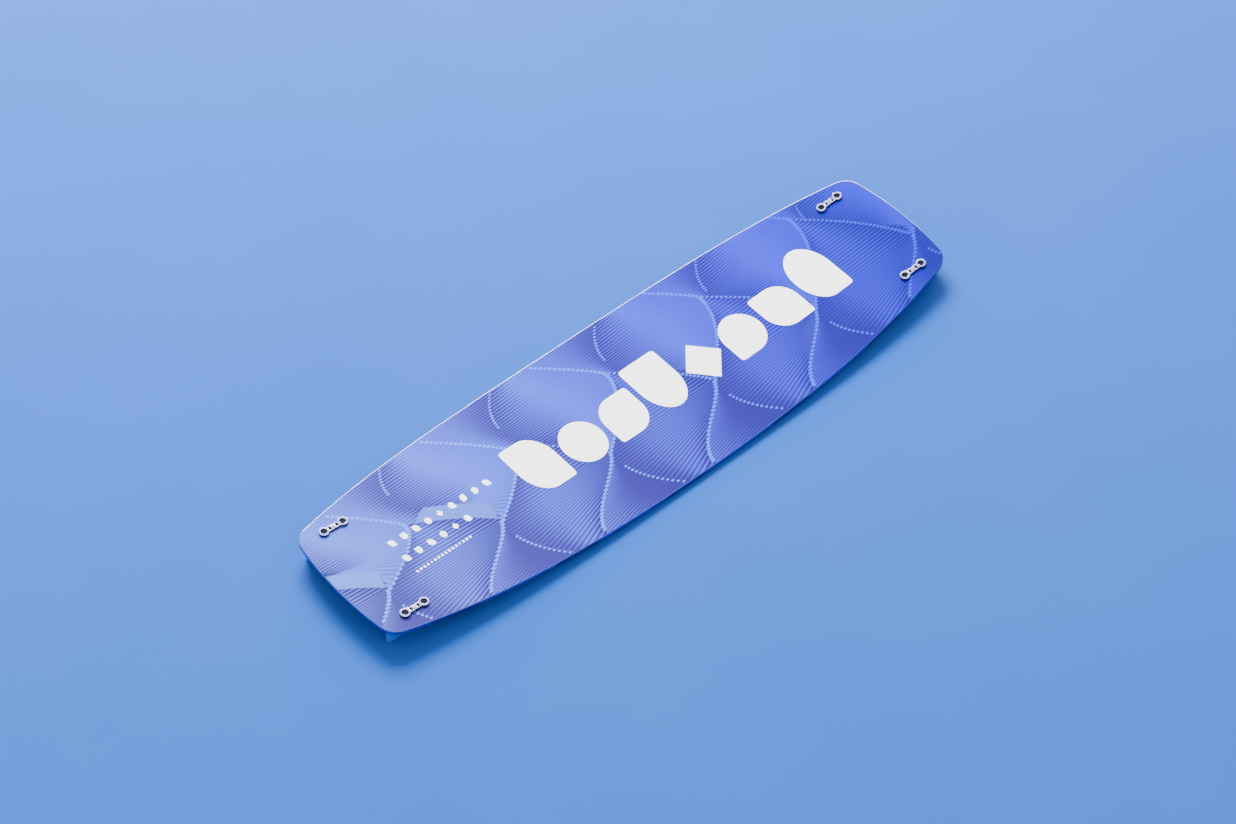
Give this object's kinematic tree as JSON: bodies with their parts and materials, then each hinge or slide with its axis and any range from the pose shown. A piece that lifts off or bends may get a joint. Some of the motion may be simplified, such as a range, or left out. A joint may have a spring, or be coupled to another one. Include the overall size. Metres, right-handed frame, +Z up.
{
  "type": "kiteboard",
  "caption": "Twin-tip kiteboard with squared tips and upturned ends, a glossy line-pattern deck, dark edge rails, clear blue fins and metal fin washers.",
  "frame": {"origin": "on the floor under the middle of the board, at the bottom centre of the whole part's box", "axes": "+X along the board to its right tip, +Y across it to the heel edge, +Z up from the floor to the deck"},
  "size_m": [1.38, 0.4074, 0.0519],
  "materials": {
    "printed_deck": "clear glossy sheet over a printed blue line pattern",
    "printed_base": "glossy sheet, dark blue",
    "glass_laminate": "resin-filled glass cloth",
    "paulownia_core": "planed, unvarnished",
    "abs_rail": "polished deep blue",
    "clear_blue_fin": "tinted, see-through, smooth",
    "washer_alloy": "satin anodised",
    "screw_steel": "satin",
    "brass_insert": "turned",
    "hard_block": "moulded"
  },
  "bodies": {
    "root": {"base_sheet": "printed_base", "binding_insert_left_heel_1": "brass_insert", "binding_insert_left_heel_2": "brass_insert", "binding_insert_left_heel_3": "brass_insert", "binding_insert_left_toe_1": "brass_insert", "binding_insert_left_toe_2": "brass_insert", "binding_insert_left_toe_3": "brass_insert", "binding_insert_right_heel_1": "brass_insert", "binding_insert_right_heel_2": "brass_insert", "binding_insert_right_heel_3": "brass_insert", "binding_insert_right_toe_1": "brass_insert", "binding_insert_right_toe_2": "brass_insert", "binding_insert_right_toe_3": "brass_insert", "bottom_laminate": "glass_laminate", "fin_block_left_heel": "hard_block", "fin_block_left_toe": "hard_block", "fin_block_right_heel": "hard_block", "fin_block_right_toe": "hard_block", "fin_insert_left_heel_inner": "brass_insert", "fin_insert_left_heel_outer": "brass_insert", "fin_insert_left_toe_inner": "brass_insert", "fin_insert_left_toe_outer": "brass_insert", "fin_insert_right_heel_inner": "brass_insert", "fin_insert_right_heel_outer": "brass_insert", "fin_insert_right_toe_inner": "brass_insert", "fin_insert_right_toe_outer": "brass_insert", "fin_left_heel": "clear_blue_fin", "fin_left_toe": "clear_blue_fin", "fin_right_heel": "clear_blue_fin", "fin_right_toe": "clear_blue_fin", "fin_screw_left_heel_inner": "screw_steel", "fin_screw_left_heel_outer": "screw_steel", "fin_screw_left_toe_inner": "screw_steel", "fin_screw_left_toe_outer": "screw_steel", "fin_screw_right_heel_inner": "screw_steel", "fin_screw_right_heel_outer": "screw_steel", "fin_screw_right_toe_inner": "screw_steel", "fin_screw_right_toe_outer": "screw_steel", "fin_washer_left_heel": "washer_alloy", "fin_washer_left_toe": "washer_alloy", "fin_washer_right_heel": "washer_alloy", "fin_washer_right_toe": "washer_alloy", "handle_insert_heel": "brass_insert", "handle_insert_toe": "brass_insert", "side_rail_heel": "abs_rail", "side_rail_toe": "abs_rail", "tip_rail_left": "abs_rail", "tip_rail_right": "abs_rail", "top_laminate": "glass_laminate", "top_sheet": "printed_deck", "wood_core": "paulownia_core"}
  },
  "joints": []
}
